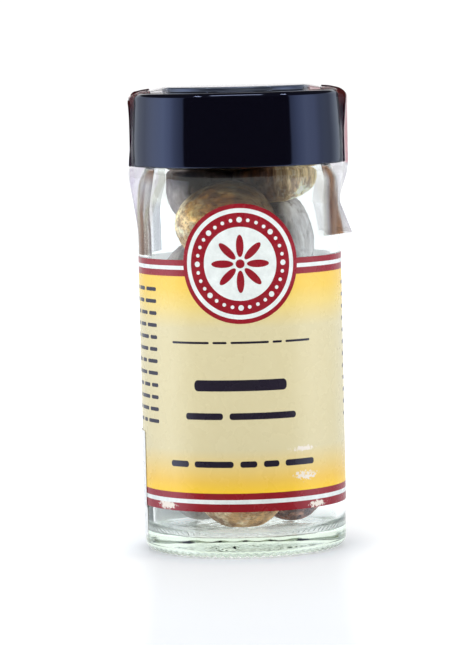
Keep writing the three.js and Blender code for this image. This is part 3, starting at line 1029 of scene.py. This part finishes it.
studio = {
    "white": 1.02, "fill": 0.42,
    "boxTop": 0.36, "boxBlur": 0.02,  # the side boxes end at this height, as a sine
    "left": [  # bearing from the front in degrees and the light that comes from there
        (59.5, 0), (61.5, (0.6, 0.67, 0.85)), (72, (1.1, 1.24, 1.55)), (78, (1.6, 1.8, 2.25)),
        (88, (1.9, 2.15, 2.65)), (103, (1.45, 1.62, 2.0)), (120, (0.76, 0.84, 1.02)),
        (134, (0.62, 0.69, 0.82)), (146, (0.7, 0.76, 0.85)), (158, (1.0, 1.03, 1.06)), (172, 1.02)],
    "right": [
        (59.5, 0), (61.5, (0.7, 0.79, 1.0)), (70, (1.15, 1.3, 1.65)), (81, (1.55, 1.72, 2.1)),
        (94, (1.15, 1.3, 1.7)), (103, (0.7, 0.8, 1.05)), (109, (0.62, 0.72, 0.92)),
        (122, (0.42, 0.48, 0.62)), (138, (0.68, 0.77, 0.9)), (155, (0.8, 0.85, 0.9)), (172, 1.02)],
    "through": [  # what lights the nuts through the glass
        (0, 0.35), (38, 0.45), (60, (5.6, 5.6, 5.5)), (105, (5.6, 5.6, 5.5)), (130, 1.2), (180, 1.02)],
    "throughRight": 0.95,  # and how much of that there is on the right
    "lamps": [  # name, bearing, elevation, distance, width, height, radiance and colour
        ("sideBoxLeft", -95, 0, 1.5, 2.0, 1.1, 1.35, (1.0, 1.05, 1.2)),
        ("keyLampLeft", -55, 50, 1.4, 0.15, 0.07, 36, (1, 1, 1)),
        ("sideBoxRight", 95, 0, 1.5, 2.0, 1.1, 1.25, (1.0, 1.05, 1.2)),
        ("keyLampRight", 70, 50, 1.4, 0.15, 0.07, 36, (1, 1, 1)),
        ("stripLamp", 0, 68, 1.4, 1.0, 0.22, 12, (1, 1, 1)),
    ],
}
ground = {  # metres
    "reach": 3.0, "drop": 0.00004,
    "glow": [  # from the jar outwards, a distance and what the floor gives off there: painted light under the jar that shows through its base, a painted contact shadow round its foot, and painted shade that fades out to the even floor
        (0.0195, 0.45), (0.0208, 0.1), (0.0225, 0.22), (0.025, 0.34), (0.06, 0.47), (0.12, 0.7),
        (3, 0.7)],
    # painted shade in a strip before the jar: how much glow is taken off, from its far end up to the
    # jar
    "dim": [(0, 0.55), (0.23, 0.44), (0.46, 0.35), (0.74, 0.25), (0.85, 0.22), (1, 0)],
    "dimDepth": (-0.12, 0.01),  # the painted shade lies before the jar, over this depth
    "dimWidth": (0.034, 0.019), "dimAway": (0.0205, 0.0235),
}


def makeFloor(s):
    bm = bmesh.new()
    bmesh.ops.create_grid(bm, x_segments=1, y_segments=1, size=s["reach"])
    bmesh.ops.translate(bm, verts=bm.verts, vec=(0, 0, -s["drop"]))
    material, shader = newMaterial("whiteFloor", {
        "Base Color": (0.905, 0.94, 0.985, 1), "Roughness": 0.55, "Specular IOR Level": 0.3,
        "Emission Color": (1, 1, 1, 1)})
    where = objectSpace(material)
    x, y, _ = addNode(material, "SeparateXYZ", {0: where}).outputs
    # painted shade: a strip before the jar where the glow is taken down
    middle = remap(material, mathNode(material, "ABSOLUTE", x), *s["dimWidth"])
    inFront = addRamp(material, remap(material, y, *s["dimDepth"]), s["dim"])
    away = vectorNode(material, "LENGTH", where)
    dim = mathNode(material, "MULTIPLY", middle, inFront)
    dim = mathNode(material, "MULTIPLY", dim, remap(material, away, *s["dimAway"]))
    # painted light under the jar and a painted contact shadow round its foot
    around = addRamp(material, remap(material, away, 0, s["reach"]),
                     [(distance / s["reach"], glow) for distance, glow in s["glow"]])
    glow = mathNode(material, "SUBTRACT", around, dim)
    feed(shader, "Emission Strength", mathNode(material, "MAXIMUM", glow, 0.0))
    mesh = newMesh("floor", bm)
    mesh.materials.append(material)
    floor = newObject("floor", mesh)
    floor.visible_glossy = False


def areaLight(name, azimuth, elevation, distance, width, height, radiance, tint):
    data = bpy.data.lights.new(name, "AREA")
    data.shape = "RECTANGLE"
    data.size, data.size_y = width, height
    data.energy = radiance * math.pi * width * height
    data.color = tint
    lamp = newObject(name, data)
    a, e = math.radians(azimuth), math.radians(elevation)
    back = Vector((math.sin(a) * math.cos(e), -math.cos(a) * math.cos(e), math.sin(e)))
    lamp.location = Vector((0, 0, 0.06)) + back * distance
    lamp.rotation_mode = "QUATERNION"
    lamp.rotation_quaternion = back.to_track_quat("Z", "Y")
    lamp.visible_camera = False
    lamp.visible_glossy = not name.startswith("sideBox")
    lamp.visible_transmission = name == "stripLamp"


def boxLight(world, bearing, stops):  # the light that comes from round the horizon on one side
    return addRamp(world, bearing, [(angle / 180, colour) for angle, colour in stops])


def makeWorld(s):
    world = bpy.data.worlds.new("whiteStudio")
    bpy.context.scene.world = world
    world.use_nodes = True
    direction = addNode(world, "TexCoord", {}).outputs["Generated"]
    x, y, z = addNode(world, "SeparateXYZ", {0: direction}).outputs
    turn = mathNode(world, "ARCTAN2", mathNode(world, "ABSOLUTE", x),
                    mathNode(world, "MULTIPLY", y, -1.0))
    bearing = mathNode(world, "DIVIDE", turn, math.pi)
    onRight = mathNode(world, "GREATER_THAN", x, 0.0)
    boxes = mixColours(world, onRight, boxLight(world, bearing, s["left"]),
                       boxLight(world, bearing, s["right"]))
    above = remap(world, z, s["boxTop"] - s["boxBlur"], s["boxTop"] + s["boxBlur"])
    inGloss = mixColours(world, above, boxes, (0.05, 0.05, 0.06, 1))
    path = addNode(world, "LightPath", {}).outputs
    seen = mixColours(world, path["Is Glossy Ray"], (*[s["fill"]] * 3, 1), inGloss)
    inJar = mixColours(world, onRight, boxLight(world, bearing, s["through"]),
                       (*[s["throughRight"]] * 3, 1), "MULTIPLY")
    scattered = mathNode(world, "GREATER_THAN", path["Diffuse Depth"], 0.5)
    behindGlass = mixColours(world, scattered, (*[s["white"]] * 3, 1), inJar)
    clear = mathNode(world, "MAXIMUM", path["Is Camera Ray"], path["Is Transmission Ray"])
    final = mixColours(world, clear, seen, behindGlass)
    feed(world.node_tree.nodes["Background"], "Color", final)
    world.cycles.sampling_method = "NONE"


def makeStudio(s):
    makeFloor(ground)
    makeWorld(s)
    for lamp in s["lamps"]:
        areaLight(*lamp)
    scene = bpy.context.scene
    scene.view_settings.view_transform = "Standard"
    scene.cycles.use_denoising = True
    scene.cycles.max_bounces = 24
    scene.cycles.transmission_bounces = 20
    scene.cycles.glossy_bounces = 8
    scene.cycles.transparent_max_bounces = 16
    scene.cycles.sample_clamp_indirect = 6


makeStudio(studio)
print("studio lit")
